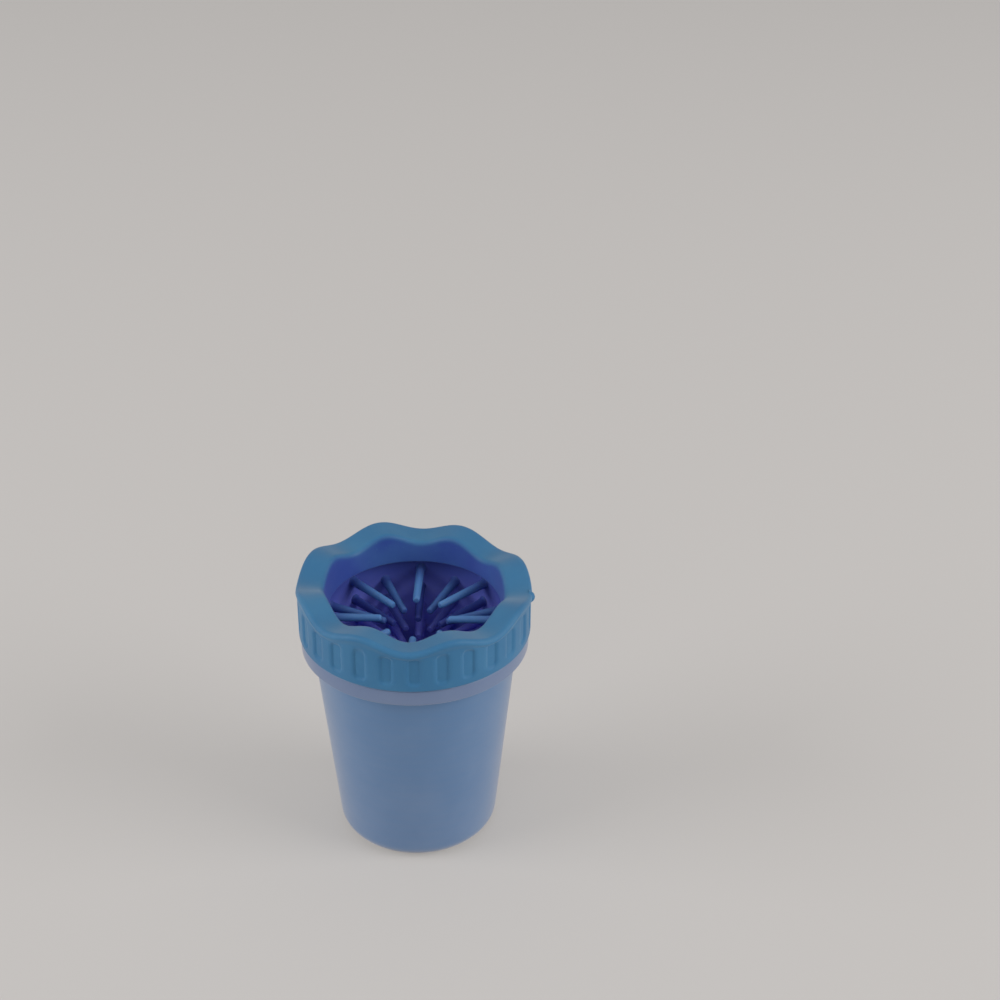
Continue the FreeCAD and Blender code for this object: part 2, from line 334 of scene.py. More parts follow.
def grown(name, seed_mesh, tree, values):
    """Run a Geometry Nodes tree on a mesh, with its named inputs set, and keep the result as a mesh."""
    source = bpy.data.objects.new(name + "_seed", seed_mesh)
    bpy.context.collection.objects.link(source)
    modifier = source.modifiers.new("grow", "NODES")
    modifier.node_group = tree
    sockets = {item.name: item.identifier for item in tree.interface.items_tree if item.in_out == "INPUT"}
    for label, value in values.items():
        modifier[sockets[label]] = value
    bpy.context.view_layer.update()
    evaluated = source.evaluated_get(bpy.context.evaluated_depsgraph_get())
    mesh = bpy.data.meshes.new_from_object(evaluated)
    mesh.name = name
    source.modifiers.remove(modifier)
    bpy.data.objects.remove(source)
    shape = bmesh.new()
    shape.from_mesh(mesh)
    bmesh.ops.recalc_face_normals(shape, faces=shape.faces)
    shape.to_mesh(mesh)
    shape.free()
    return placed(name, mesh)


# ---------------------------------------------------------------- shader groups shared by the finishes

def shader_group(name, inputs, outputs):
    tree = bpy.data.node_groups.new(name, "ShaderNodeTree")
    for label, kind, value in inputs:
        socket = tree.interface.new_socket(label, in_out="INPUT", socket_type=kind)
        if value is not None:
            socket.default_value = value
    for label, kind in outputs:
        tree.interface.new_socket(label, in_out="OUTPUT", socket_type=kind)
    nodes = Nodes(tree)
    return nodes, nodes.add("NodeGroupInput").outputs, nodes.add("NodeGroupOutput").inputs


def moulded_grain():
    """Fine spark-eroded mould texture: a height for bump and a small change of roughness."""
    nodes, given, result = shader_group(
        "moulded_grain",
        [("Position", "NodeSocketVector", None), ("Scale", "NodeSocketFloat", 900.0),
         ("Roughness", "NodeSocketFloat", 0.5), ("Spread", "NodeSocketFloat", 0.08)],
        [("Height", "NodeSocketFloat"), ("Roughness", "NodeSocketFloat")])
    fine = nodes.add("ShaderNodeTexNoise", {"Vector": given["Position"], "Scale": given["Scale"],
                                            "Detail": 3.0, "Roughness": 0.6})
    broad = nodes.add("ShaderNodeTexNoise", {"Vector": given["Position"], "Scale": 60.0, "Detail": 2.0})
    swing = nodes.maths("MULTIPLY_ADD", broad.outputs[0], given["Spread"], given["Roughness"])
    half_spread = nodes.maths("MULTIPLY", given["Spread"], 0.5)
    nodes.feed(result["Height"], fine.outputs[0])
    nodes.feed(result["Roughness"], nodes.maths("SUBTRACT", swing, half_spread))
    nodes.lay_out()
    return nodes.tree


def soft_bloom():
    """Powdery bloom and slight mottling on silicone: a paler tone in cloudy patches and specks of lint."""
    nodes, given, result = shader_group(
        "soft_bloom",
        [("Position", "NodeSocketVector", None), ("Colour", "NodeSocketColor", None),
         ("Bloom", "NodeSocketColor", None), ("Amount", "NodeSocketFloat", 0.2),
         ("Lint", "NodeSocketFloat", 0.2)],
        [("Colour", "NodeSocketColor")])
    clear, cloudy = 0.35, 0.75
    speck_edge, speck_core = 0.12, 0.05
    cloud = nodes.add("ShaderNodeTexNoise", {"Vector": given["Position"], "Scale": 45.0, "Detail": 4.0})
    patches = nodes.switch_range(cloud.outputs[0], clear, cloudy)
    specks = nodes.add("ShaderNodeTexVoronoi", {"Vector": given["Position"], "Scale": 420.0,
                                                "Randomness": 1.0})
    lint = nodes.switch_range(specks.outputs["Distance"], speck_edge, speck_core)
    lint_share = nodes.maths("MULTIPLY", lint, given["Lint"])
    share = nodes.maths("MULTIPLY_ADD", patches, given["Amount"], lint_share)
    nodes.feed(result["Colour"], nodes.mixed_colour(share, given["Colour"], given["Bloom"]))
    nodes.lay_out()
    return nodes.tree


def well_depth():
    """How deep in the well or how near its wall a point lies, from 0 where it is lit to 1."""
    nodes, given, result = shader_group(
        "well_depth",
        [("Position", "NodeSocketVector", None), ("Lit Height", "NodeSocketFloat", 0.105),
         ("Dark Height", "NodeSocketFloat", 0.092), ("Lit Radius", "NodeSocketFloat", 0.024),
         ("Wall Radius", "NodeSocketFloat", 0.041), ("Wall Share", "NodeSocketFloat", 0.7)],
        [("Depth", "NodeSocketFloat")])
    place = nodes.split(given["Position"])
    down = nodes.switch_range(place["Z"], given["Lit Height"], given["Dark Height"])
    outward = nodes.switch_range(nodes.from_axis(place), given["Lit Radius"], given["Wall Radius"])
    walled = nodes.maths("MULTIPLY", outward, given["Wall Share"])
    nodes.feed(result["Depth"], nodes.maths("MAXIMUM", down, walled))
    nodes.lay_out()
    return nodes.tree


def painted_liner_and_foot_shade():
    """Where the sleeve's blue is painted into the frosted wall as if seen through it, and painted shade at
    the foot.

    The painted blue shows below the shoulder, less towards the foot, with faint painted rings of the liner.
    """
    shoulder_above, shoulder_below = 2 * MM, 4 * MM
    shoulder_edge = 0.5 * MM
    ring_drift = 5.0
    # where the painted shade at the foot begins and where it is full
    foot_shade_top, foot_shade_bottom = 5.5 * MM, 0.5 * MM
    nodes, given, result = shader_group(
        "painted_liner_and_foot_shade",
        [("Position", "NodeSocketVector", None), ("Shoulder Height", "NodeSocketFloat", 0.094),
         ("Foot Height", "NodeSocketFloat", 0.004), ("Foot Share", "NodeSocketFloat", 0.7),
         ("Shoulder Radius", "NodeSocketFloat", 0.0465), ("Ring Pitch", "NodeSocketFloat", 0.0047),
         ("Ring Share", "NodeSocketFloat", 0.05)],
        [("Share", "NodeSocketFloat"), ("Foot Shade", "NodeSocketFloat")])
    place = nodes.split(given["Position"])
    height = place["Z"]
    below = nodes.switch_range(height, nodes.maths("ADD", given["Shoulder Height"], shoulder_above),
                               nodes.maths("SUBTRACT", given["Shoulder Height"], shoulder_below))
    inside = nodes.switch_range(nodes.from_axis(place),
                                nodes.maths("ADD", given["Shoulder Radius"], shoulder_edge),
                                nodes.maths("SUBTRACT", given["Shoulder Radius"], shoulder_edge))
    fade = nodes.add("ShaderNodeMapRange", {
        "Value": height, "From Min": given["Foot Height"], "From Max": given["Shoulder Height"],
        "To Min": given["Foot Share"], "To Max": 1.0}).outputs["Result"]
    # faint painted rings of the liner, as if seen through the wall
    drift = nodes.add("ShaderNodeTexNoise", {"Vector": given["Position"], "Scale": 14.0, "Detail": 1.0})
    rings_up = nodes.maths("MULTIPLY", nodes.maths("DIVIDE", height, given["Ring Pitch"]), 2 * math.pi)
    phase = nodes.maths("MULTIPLY_ADD", drift.outputs[0], ring_drift, rings_up)
    rings = nodes.maths("MULTIPLY", nodes.maths("SINE", phase), given["Ring Share"])
    share = nodes.maths("MULTIPLY", nodes.maths("MULTIPLY", below, inside), nodes.maths("ADD", fade, rings))
    nodes.feed(result["Share"], share)
    # painted shade at the foot: 0 above the foot's rounding, 1 down at the floor
    nodes.feed(result["Foot Shade"], nodes.switch_range(height, foot_shade_top, foot_shade_bottom))
    nodes.lay_out()
    return nodes.tree


def inner_wall():
    """1 on the inside of a tapered wall and 0 on its outside, by the radius of the wall's middle."""
    edge = 0.2 * MM
    nodes, given, result = shader_group(
        "inner_wall",
        [("Position", "NodeSocketVector", None), ("Middle Radius", "NodeSocketFloat", 0.034),
         ("Taper", "NodeSocketFloat", 0.1)],
        [("Inside", "NodeSocketFloat")])
    place = nodes.split(given["Position"])
    widening = nodes.maths("MULTIPLY", place["Z"], given["Taper"])
    level = nodes.maths("SUBTRACT", nodes.from_axis(place), widening)
    inside = nodes.switch_range(level, nodes.maths("ADD", given["Middle Radius"], edge),
                                nodes.maths("SUBTRACT", given["Middle Radius"], edge))
    nodes.feed(result["Inside"], inside)
    nodes.lay_out()
    return nodes.tree


GRAIN = moulded_grain()
BLOOM = soft_bloom()
WELL_DEPTH = well_depth()
INNER_WALL = inner_wall()
PAINTED_LINER_AND_FOOT_SHADE = painted_liner_and_foot_shade()


def srgb(red, green, blue):
    """A screen colour, 0 to 255 each, as the linear colour that a shader takes."""
    def linear(value):
        share = value / 255
        return share / 12.92 if share <= 0.04045 else ((share + 0.055) / 1.055) ** 2.4
    return (linear(red), linear(green), linear(blue), 1.0)


class Finish:
    """A moulded finish being put together: colour through the bloom, mould grain in bump and roughness."""

    def __init__(self, name):
        self.material = bpy.data.materials.new(name)
        self.material.use_nodes = True
        self.nodes = Nodes(self.material.node_tree)
        self.shader = principled(self.material)
        self.place = self.nodes.add("ShaderNodeTexCoord").outputs["Object"]

    def group(self, tree, **values):
        """Place a shared group at this point of the surface and hand back its outputs."""
        node = self.nodes.add("ShaderNodeGroup", node_tree=tree)
        self.nodes.feed(node.inputs["Position"], self.place)
        for label, value in values.items():
            self.nodes.feed(node.inputs[label.replace("_", " ")], value)
        return node.outputs

    def between(self, share, first, second):
        return self.nodes.mixed_colour(share, first, second)

    def bloomed(self, colour, bloom, amount, lint):
        tone = self.group(BLOOM, Colour=colour, Bloom=bloom, Amount=amount, Lint=lint)["Colour"]
        self.nodes.feed(self.shader.inputs["Base Color"], tone)

    def grained(self, scale, depth, roughness):
        grain = self.group(GRAIN, Scale=scale, Roughness=roughness)
        bump = self.nodes.add("ShaderNodeBump", {"Height": grain["Height"], "Distance": depth,
                                                 "Strength": 0.6})
        self.nodes.feed(self.shader.inputs["Roughness"], grain["Roughness"])
        self.nodes.feed(self.shader.inputs["Normal"], bump.outputs["Normal"])

    def constants(self, **values):
        for label, value in values.items():
            self.shader.inputs[label.replace("_", " ")].default_value = value
        return self.material

    def silicone(self, scatter, tint, **values):
        """The constants of a soft moulding: a little light scattered under its skin."""
        return self.constants(IOR=1.41, Subsurface_Weight=scatter, Subsurface_Scale=3 * MM,
                              Subsurface_Radius=tint, **values)


def principled(material):
    return next(node for node in material.node_tree.nodes if node.type == "BSDF_PRINCIPLED")


def collar_silicone():
    """Mid-blue silicone; its deeper, purer blue down the inside of the mouth is painted shade."""
    look = Finish("collar_silicone")
    mouth = look.nodes.add("ShaderNodeAttribute", attribute_name="mouth_shade_share").outputs["Fac"]
    # painted shade: a deeper, purer blue where the mouth's inside lies in shade
    tone = look.between(mouth, srgb(46, 105, 146), srgb(37, 64, 142))
    look.bloomed(tone, srgb(78, 138, 174), amount=0.2, lint=0.2)
    look.grained(scale=1400.0, depth=0.06 * MM, roughness=0.55)
    return look.silicone(0.12, (0.3, 0.6, 1.0), Sheen_Weight=0.15, Sheen_Roughness=0.5,
                         Specular_IOR_Level=0.38)


def sleeve_silicone():
    """The liner's silicone: plain blue outside; inside, deep blue-violet painted shade turning to painted
    fill light lower down.
    """
    look = Finish("sleeve_silicone")
    depth = look.group(WELL_DEPTH, Lit_Height=TOP_ROW + 3 * MM, Dark_Height=TOP_ROW - 22 * MM,
                       Wall_Share=0.0)["Depth"]
    middle = (sleeve_inner(0) + sleeve_outer(0)) / 2
    inside = look.group(INNER_WALL, Middle_Radius=middle, Taper=CUP_TAPER)["Inside"]
    # painted shade and painted fill light: darker near the top of the inside, painted paler deep down where
    # little light reaches
    well = look.between(depth, srgb(52, 66, 145), srgb(134, 142, 245))
    # the painted tones go on the inside of the wall only; the outside keeps the plain blue
    tone = look.between(inside, srgb(58, 98, 158), well)
    look.bloomed(tone, srgb(88, 112, 192), amount=0.1, lint=0.1)
    look.grained(scale=1400.0, depth=0.05 * MM, roughness=0.55)
    return look.silicone(0.1, (0.2, 0.4, 1.0))


def finger_silicone():
    """The liner's silicone in the thin fingers: lit blue up top, painted shade lower, painted fill light
    deepest.
    """
    look = Finish("finger_silicone")
    upper = look.group(WELL_DEPTH, Lit_Height=TOP_ROW + 1 * MM, Dark_Height=TOP_ROW - 9 * MM,
                       Wall_Radius=sleeve_inner(TOP_ROW), Wall_Share=0.85)["Depth"]
    lower = look.group(WELL_DEPTH, Lit_Height=TOP_ROW - 8 * MM, Dark_Height=TOP_ROW - 24 * MM,
                       Wall_Share=0.0)["Depth"]
    # painted fill light: the deepest rows are painted paler, standing in for light that does not reach them
    deep = look.between(lower, srgb(52, 66, 146), srgb(128, 130, 240))
    # painted shade: lit blue in the top rows, darker towards the roots by the wall and down the rows
    tone = look.between(upper, srgb(80, 128, 184), deep)
    look.bloomed(tone, srgb(84, 128, 184), amount=0.08, lint=0.1)
    look.grained(scale=1400.0, depth=0.04 * MM, roughness=0.5)
    return look.silicone(0.2, (0.2, 0.5, 1.0))


def frosted_plastic():
    """Frosted clear plastic: a pale milky shoulder; below it the liner's blue painted in as if seen
    through, and painted shade at the foot.
    """
    look = Finish("frosted_plastic")
    behind = look.group(PAINTED_LINER_AND_FOOT_SHADE, Shoulder_Height=BAND_BOTTOM)
    # painted see-through light: the liner's blue painted into the wall's own colour below the shoulder
    wall = look.between(behind["Share"], srgb(104, 124, 160), srgb(84, 124, 168))
    # painted shade: the wall darkens to dark blue-grey down at the foot
    tone = look.between(behind["Foot Shade"], wall, srgb(40, 56, 80))
    look.bloomed(tone, srgb(152, 166, 190), amount=0.1, lint=0.05)
    look.grained(scale=2200.0, depth=0.04 * MM, roughness=0.5)
    return look.constants(Transmission_Weight=0.15, IOR=1.49, Sheen_Weight=0.6, Sheen_Roughness=0.42,
                          Sheen_Tint=(1.0, 0.93, 0.88, 1.0))


# ---------------------------------------------------------------- the cup

def frosted_cup():
    band_inner = BAND_RADIUS - CUP_WALL
    band_underside = BAND_TOP - CUP_WALL
    gate_floor = FOOT_RECESS_DEPTH - GATE_MARK
    outline = rounded_outline([
        (0, gate_floor, 0),
        (GATE_RADIUS, gate_floor, 0.15 * MM),
        (GATE_RADIUS + GATE_MARK, FOOT_RECESS_DEPTH, 0),
        (FOOT_RECESS_RADIUS - FOOT_RECESS_SLOPE, FOOT_RECESS_DEPTH, 0.3 * MM),
        (FOOT_RECESS_RADIUS, 0, 0.2 * MM),
        (cup_outer(0), 0, FOOT_BEND),
        (cup_outer(band_underside), band_underside, 0.6 * MM),
        (band_inner, band_underside, 0.8 * MM),
        (band_inner, BAND_BOTTOM, 0.5 * MM),
        (BAND_RADIUS, BAND_BOTTOM, 0.6 * MM),
        (BAND_RADIUS, BAND_TOP, 0.8 * MM),
        (NECK_RADIUS, BAND_TOP, 0.5 * MM),
        (NECK_RADIUS, CUP_RIM, 0.5 * MM),
        (NECK_INNER, CUP_RIM, 0.5 * MM),
        (NECK_INNER, BAND_TOP, 0.3 * MM),
        (cup_outer(BAND_TOP) - CUP_WALL, BAND_TOP, 0.3 * MM),
        (cup_outer(CUP_WALL) - CUP_WALL, CUP_WALL, BASE_CORNER - CUP_WALL),
        (0, CUP_WALL, 0),
    ], WALL_SPACING, arc_step=math.radians(9))
    piece = turned("frosted_cup", outline, TURNED_SEGMENTS)
    piece.data.materials.append(frosted_plastic())
    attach(piece, "cup")
    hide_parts("cup_body")


# ---------------------------------------------------------------- the sleeve and its fingers

def soft_sleeve():
    ledge = BAND_TOP + SLEEVE_GAP
    neck_fit = NECK_INNER - SLEEVE_GAP
    outline = rounded_outline([
        (sleeve_inner(SLEEVE_BOTTOM), SLEEVE_BOTTOM, 0.5 * MM),
        (sleeve_outer(SLEEVE_BOTTOM), SLEEVE_BOTTOM, 0.5 * MM),
        (sleeve_outer(ledge), ledge, 0.3 * MM),
        (neck_fit, ledge, 0.4 * MM),
        (neck_fit, CUP_RIM, 0.2 * MM),
        (FLANGE_RADIUS, CUP_RIM, 0.5 * MM),
        (FLANGE_RADIUS, FLANGE_TOP, 0.6 * MM),
        (sleeve_inner(FLANGE_TOP), FLANGE_TOP, 0.7 * MM),
    ], WALL_SPACING)
    piece = turned("soft_sleeve", outline, TURNED_SEGMENTS)
    piece.data.materials.append(sleeve_silicone())
    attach(piece, "insert")
    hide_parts("bristle_sleeve")


def finger_template():
    """One finger of unit length along X, from its tip at -1 to its root at 0."""
    shape = bmesh.new()
    rings = []
    for along, girth in FINGER_PROFILE:
        radius = FINGER_TIP_RADIUS * girth
        rings.append([shape.verts.new((along, radius * math.cos(turn), radius * math.sin(turn)))
                      for turn in headings(FINGER_SIDES)])
    for ring, following in zip(rings, rings[1:]):
        for side in range(FINGER_SIDES):
            beside = (side + 1) % FINGER_SIDES
            shape.faces.new((ring[side], ring[beside], following[beside], following[side]))
    shape.faces.new(rings[0])
    shape.faces.new(rings[-1])
    bmesh.ops.recalc_face_normals(shape, faces=shape.faces)
    mesh = bpy.data.meshes.new("finger_template")
    shape.to_mesh(mesh)
    shape.free()
    mesh.transform(Matrix.Translation((-1, 0, 0)))
    return mesh


def finger_rows_tree():
    """Stands a copy of the seed finger at each place of the staggered rows, pointing at the axis."""
    nodes, given = shape_tree("finger_rows", [
        ("Rows", "NodeSocketInt"), ("Fingers Per Row", "NodeSocketInt"), ("Top Row", "NodeSocketFloat"),
        ("Bottom Row", "NodeSocketFloat"), ("Root Radius Top", "NodeSocketFloat"),
        ("Root Radius Bottom", "NodeSocketFloat"), ("Tip Radius Top", "NodeSocketFloat"),
        ("Tip Radius Bottom", "NodeSocketFloat"), ("Embed", "NodeSocketFloat"),
        ("Droop", "NodeSocketFloat"), ("Jitter", "NodeSocketFloat"), ("Seed", "NodeSocketInt"),
        ("Finish", "NodeSocketMaterial")])
    per_row = given["Fingers Per Row"]
    points = nodes.add("GeometryNodePoints", {"Count": nodes.maths("MULTIPLY", given["Rows"], per_row)})
    index = nodes.add("GeometryNodeInputIndex").outputs[0]
    row = nodes.maths("FLOOR", nodes.maths("DIVIDE", nodes.maths("ADD", index, 0.5), per_row))
    place = nodes.maths("SUBTRACT", index, nodes.maths("MULTIPLY", row, per_row))
    share = nodes.maths("DIVIDE", row, nodes.maths("SUBTRACT", given["Rows"], 1.0))
    stagger = nodes.maths("MULTIPLY", nodes.maths("MODULO", row, 2.0), 0.5)
    step = nodes.maths("DIVIDE", 2 * math.pi, per_row)
    turn = nodes.maths("MULTIPLY", nodes.maths("ADD", place, stagger), step)

    def down_the_rows(top, bottom):
        ends = {"Value": share, "To Min": given[top], "To Max": given[bottom]}
        return nodes.add("ShaderNodeMapRange", ends).outputs["Result"]

    height = down_the_rows("Top Row", "Bottom Row")
    root = nodes.maths("ADD", down_the_rows("Root Radius Top", "Root Radius Bottom"), given["Embed"])
    length = nodes.maths("SUBTRACT", root, down_the_rows("Tip Radius Top", "Tip Radius Bottom"))
    set_place = nodes.add("GeometryNodeSetPosition", {
        "Geometry": points.outputs[0], "Position": nodes.polar(root, turn, height)})
    sway = nodes.split(nodes.add("FunctionNodeRandomValue", {
        0: (-1, -1, -1), 1: (1, 1, 1), "Seed": given["Seed"]}, data_type="FLOAT_VECTOR").outputs[0])
    lift = nodes.maths("MULTIPLY", given["Droop"], -1.0)
    lean = nodes.maths("MULTIPLY_ADD", sway["Y"], given["Jitter"], lift)
    yaw = nodes.maths("MULTIPLY_ADD", sway["Z"], given["Jitter"], turn)
    stand = nodes.add("GeometryNodeInstanceOnPoints", {
        "Points": set_place.outputs[0], "Instance": given["Geometry"],
        "Rotation": nodes.combine(0.0, lean, yaw), "Scale": nodes.combine(length, 1.0, 1.0)})
    return nodes.finish_shape(stand.outputs[0], given["Finish"])


def finger_brush():
    piece = grown("finger_brush", finger_template(), finger_rows_tree(), {
        "Rows": len(ROW_NODES), "Fingers Per Row": FINGERS_PER_ROW, "Top Row": TOP_ROW,
        "Bottom Row": BOTTOM_ROW, "Root Radius Top": sleeve_inner(TOP_ROW),
        "Root Radius Bottom": sleeve_inner(BOTTOM_ROW), "Tip Radius Top": TIP_CIRCLE_TOP,
        "Tip Radius Bottom": TIP_CIRCLE_BOTTOM, "Embed": FINGER_EMBED, "Droop": FINGER_DROOP,
        "Jitter": FINGER_SWAY, "Seed": FINGER_SEED, "Finish": finger_silicone()})
    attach(piece, "insert")
    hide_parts(*ROW_NODES)


# ---------------------------------------------------------------- the grip collar

def collar_outline():
    """The collar's closed section: each point's share of the rim's wave, the flutes and the painted shade
    inside the mouth.
    """
    outline = rounded_outline([
        (SKIRT_INNER, COLLAR_BOTTOM, 0.4 * MM),
        (COLLAR_RADIUS, COLLAR_BOTTOM, 0.7 * MM),
        (COLLAR_RADIUS, LIP_BOTTOM - LIP_UNDERCUT, 1.4 * MM),
        (LIP_RADIUS, LIP_BOTTOM + LIP_HEEL, 0.9 * MM),
        (LIP_RADIUS, RIDGE, 1.9 * MM),
        (THROAT_TOP + MOUTH_EASE, RIDGE - RIM_FALL, 2.3 * MM),
        (THROAT_BOTTOM, THROAT_END, 0.5 * MM),
        (THROAT_OUTER_BOTTOM, THROAT_END, 0.5 * MM),
        (THROAT_OUTER_TOP, CHANNEL_ROOF, 0.7 * MM),
        (SKIRT_INNER, CHANNEL_ROOF, 0.6 * MM),
    ], COLLAR_SPACING, arc_step=math.radians(11))
    hair = 0.01 * MM
    flute_reach = COLLAR_RADIUS - 0.3 * MM
    channel_inner = THROAT_OUTER_BOTTOM - 0.2 * MM
    skirt_start, wave_top = LIP_BOTTOM - 5 * MM, LIP_BOTTOM + 0.5 * MM
    rows = []
    for point in outline:
        in_channel = channel_inner < point.x < SKIRT_INNER + hair and point.y <= CHANNEL_ROOF + hair
        start = THROAT_END if point.x < channel_inner else skirt_start
        rise = min(max((point.y - start) / (wave_top - start), 0.0), 1.0)
        # painted shade inside the mouth: none at the rim's inner edge, full a little way down the throat
        # and in the channel
        in_mouth = in_channel or point.x < THROAT_TOP + MOUTH_SHADE_WIDTH
        fall = min(max((RIDGE - RIM_FALL - point.y) / MOUTH_SHADE_FADE, 0.0), 1.0)
        rows.append((point, {
            "wave_share": 0.0 if in_channel else rise * rise * (3 - 2 * rise),
            "flute_share": 1.0 if point.x > flute_reach and point.y < LIP_BOTTOM else 0.0,
            "mouth_shade_share": fall if in_mouth else 0.0}))
    return rows


def outline_mesh(name, rows):
    mesh = bpy.data.meshes.new(name)
    mesh.from_pydata([(point.x, 0, point.y) for point, shares in rows],
                     [(index, (index + 1) % len(rows)) for index in range(len(rows))], [])
    for label in rows[0][1]:
        attribute = mesh.attributes.new(label, "FLOAT", "POINT")
        for index, (point, shares) in enumerate(rows):
            attribute.data[index].value = shares[label]
    return mesh


def flute_crowding(nodes, offset):
    """Crowds the steps towards a flute's two edges; offset runs from -0.5 to 0.5 across one pitch."""
    edge_share, edge_band = 0.37, 0.08
    crowd = nodes.add("ShaderNodeFloatCurve")
    curve = crowd.mapping.curves[0]
    curve.points.new(0.25, edge_share - edge_band)
    curve.points.new(0.75, edge_share + edge_band)
    for point in curve.points:
        point.handle_type = "VECTOR"
    crowd.mapping.update()
    nodes.feed(crowd.inputs["Value"], nodes.maths("MULTIPLY", nodes.maths("ABSOLUTE", offset), 2.0))
    half = nodes.maths("MULTIPLY", crowd.outputs[0], 0.5)
    return nodes.maths("MULTIPLY", half, nodes.maths("SIGN", offset))


def flute_press(nodes, given, local, height):
    """1 inside a flute's rounded outline, 0 outside it, with a soft edge."""
    corner, top = given["Flute Corner"], given["Flute Top"]
    half_width = nodes.maths("SUBTRACT", nodes.maths("MULTIPLY", given["Flute Width"], 0.5), corner)
    middle = nodes.maths("MULTIPLY", nodes.maths("ADD", given["Flute Bottom"], top), 0.5)
    half_height = nodes.maths("SUBTRACT", nodes.maths("SUBTRACT", top, middle), corner)
    arc = nodes.maths("ABSOLUTE", nodes.maths("MULTIPLY", local, given["Skirt Radius"]))
    rise = nodes.maths("ABSOLUTE", nodes.maths("SUBTRACT", height, middle))
    past_side = nodes.maths("SUBTRACT", arc, half_width)
    past_end = nodes.maths("SUBTRACT", rise, half_height)
    side = nodes.maths("MAXIMUM", past_side, 0.0)
    end = nodes.maths("MAXIMUM", past_end, 0.0)
    past_corner = nodes.maths("SQRT", nodes.maths("ADD", nodes.maths("MULTIPLY", side, side),
                                                  nodes.maths("MULTIPLY", end, end)))
    inside = nodes.maths("MINIMUM", nodes.maths("MAXIMUM", past_side, past_end), 0.0)
    distance = nodes.maths("SUBTRACT", nodes.maths("ADD", past_corner, inside), corner)
    inner_edge = nodes.maths("MULTIPLY", given["Flute Edge"], -1.0)
    return nodes.switch_range(distance, given["Flute Edge"], inner_edge)


def fluted_ring_tree():
    """Sweeps the seed outline round the axis, presses upright flutes into it and waves its top."""
    nodes, given = shape_tree("fluted_ring", [
        ("Steps Per Flute", "NodeSocketInt"), ("Flutes", "NodeSocketInt"),
        ("Flute Width", "NodeSocketFloat"), ("Flute Depth", "NodeSocketFloat"),
        ("Flute Corner", "NodeSocketFloat"), ("Flute Edge", "NodeSocketFloat"),
        ("Flute Bottom", "NodeSocketFloat"), ("Flute Top", "NodeSocketFloat"), ("Lobes", "NodeSocketInt"),
        ("Wave Height", "NodeSocketFloat"), ("Lean Height", "NodeSocketFloat"),
        ("Lean Heading", "NodeSocketFloat"), ("Skirt Radius", "NodeSocketFloat"),
        ("Finish", "NodeSocketMaterial")])
    outline = given["Geometry"]
    count = nodes.add("GeometryNodeAttributeDomainSize", {"Geometry": outline}).outputs["Point Count"]
    segments = nodes.maths("MULTIPLY", given["Steps Per Flute"], given["Flutes"])
    sheet = nodes.add("GeometryNodeMeshGrid", {
        "Size X": 1.0, "Size Y": 1.0, "Vertices X": nodes.maths("ADD", segments, 1.0),
        "Vertices Y": nodes.maths("ADD", count, 1.0)})
    position = nodes.add("GeometryNodeInputPosition").outputs[0]
    spot = nodes.split(position)
    round_share = nodes.maths("ADD", spot["X"], 0.5)
    along_share = nodes.maths("ADD", spot["Y"], 0.5)
    along = nodes.maths("ROUND", nodes.maths("MULTIPLY", along_share, count))
    outline_index = nodes.maths("MODULO", along, count)

    def from_outline(value, data_type):
        return nodes.add("GeometryNodeSampleIndex", {
            "Geometry": outline, "Value": value, "Index": outline_index},
            data_type=data_type, domain="POINT").outputs[0]

    def named(label):
        kind = "GeometryNodeInputNamedAttribute"
        return from_outline(nodes.add(kind, {"Name": label}, data_type="FLOAT").outputs[0], "FLOAT")

    section = nodes.split(from_outline(position, "FLOAT_VECTOR"))
    phase = nodes.maths("MULTIPLY", round_share, given["Flutes"])
    offset = nodes.maths("SUBTRACT", phase, nodes.maths("ROUND", phase))
    pitch = nodes.maths("DIVIDE", 2 * math.pi, given["Flutes"])
    local = nodes.maths("MULTIPLY", flute_crowding(nodes, offset), pitch)
    centre = nodes.maths("MULTIPLY", nodes.maths("ROUND", phase), pitch)
    turn = nodes.maths("ADD", nodes.maths("ADD", centre, local), math.pi)

    pressed = nodes.maths("MULTIPLY", flute_press(nodes, given, local, section["Z"]), named("flute_share"))
    reach = nodes.maths("SUBTRACT", section["X"], nodes.maths("MULTIPLY", pressed, given["Flute Depth"]))

    swing = nodes.maths("COSINE", nodes.maths("MULTIPLY", turn, given["Lobes"]))
    wave = nodes.maths("MULTIPLY", swing, nodes.maths("MULTIPLY", given["Wave Height"], -1.0))
    away = nodes.maths("COSINE", nodes.maths("SUBTRACT", turn, given["Lean Heading"]))
    lean = nodes.maths("MULTIPLY", away, given["Lean Height"])
    lift = nodes.maths("MULTIPLY", nodes.maths("ADD", wave, lean), named("wave_share"))
    # the share of painted shade inside the mouth is stored while the sheet still lies flat and its places
    # still count the outline
    toned = nodes.add("GeometryNodeStoreNamedAttribute", {
        "Geometry": sheet.outputs["Mesh"], "Name": "mouth_shade_share", "Value": named("mouth_shade_share")},
        data_type="FLOAT", domain="POINT")
    ring = nodes.add("GeometryNodeSetPosition", {
        "Geometry": toned.outputs[0],
        "Position": nodes.polar(reach, turn, nodes.maths("ADD", section["Z"], lift))})
    closed = nodes.add("GeometryNodeMergeByDistance", {"Geometry": ring.outputs[0],
                                                       "Distance": WELD_DISTANCE})
    return nodes.finish_shape(closed.outputs[0], given["Finish"])


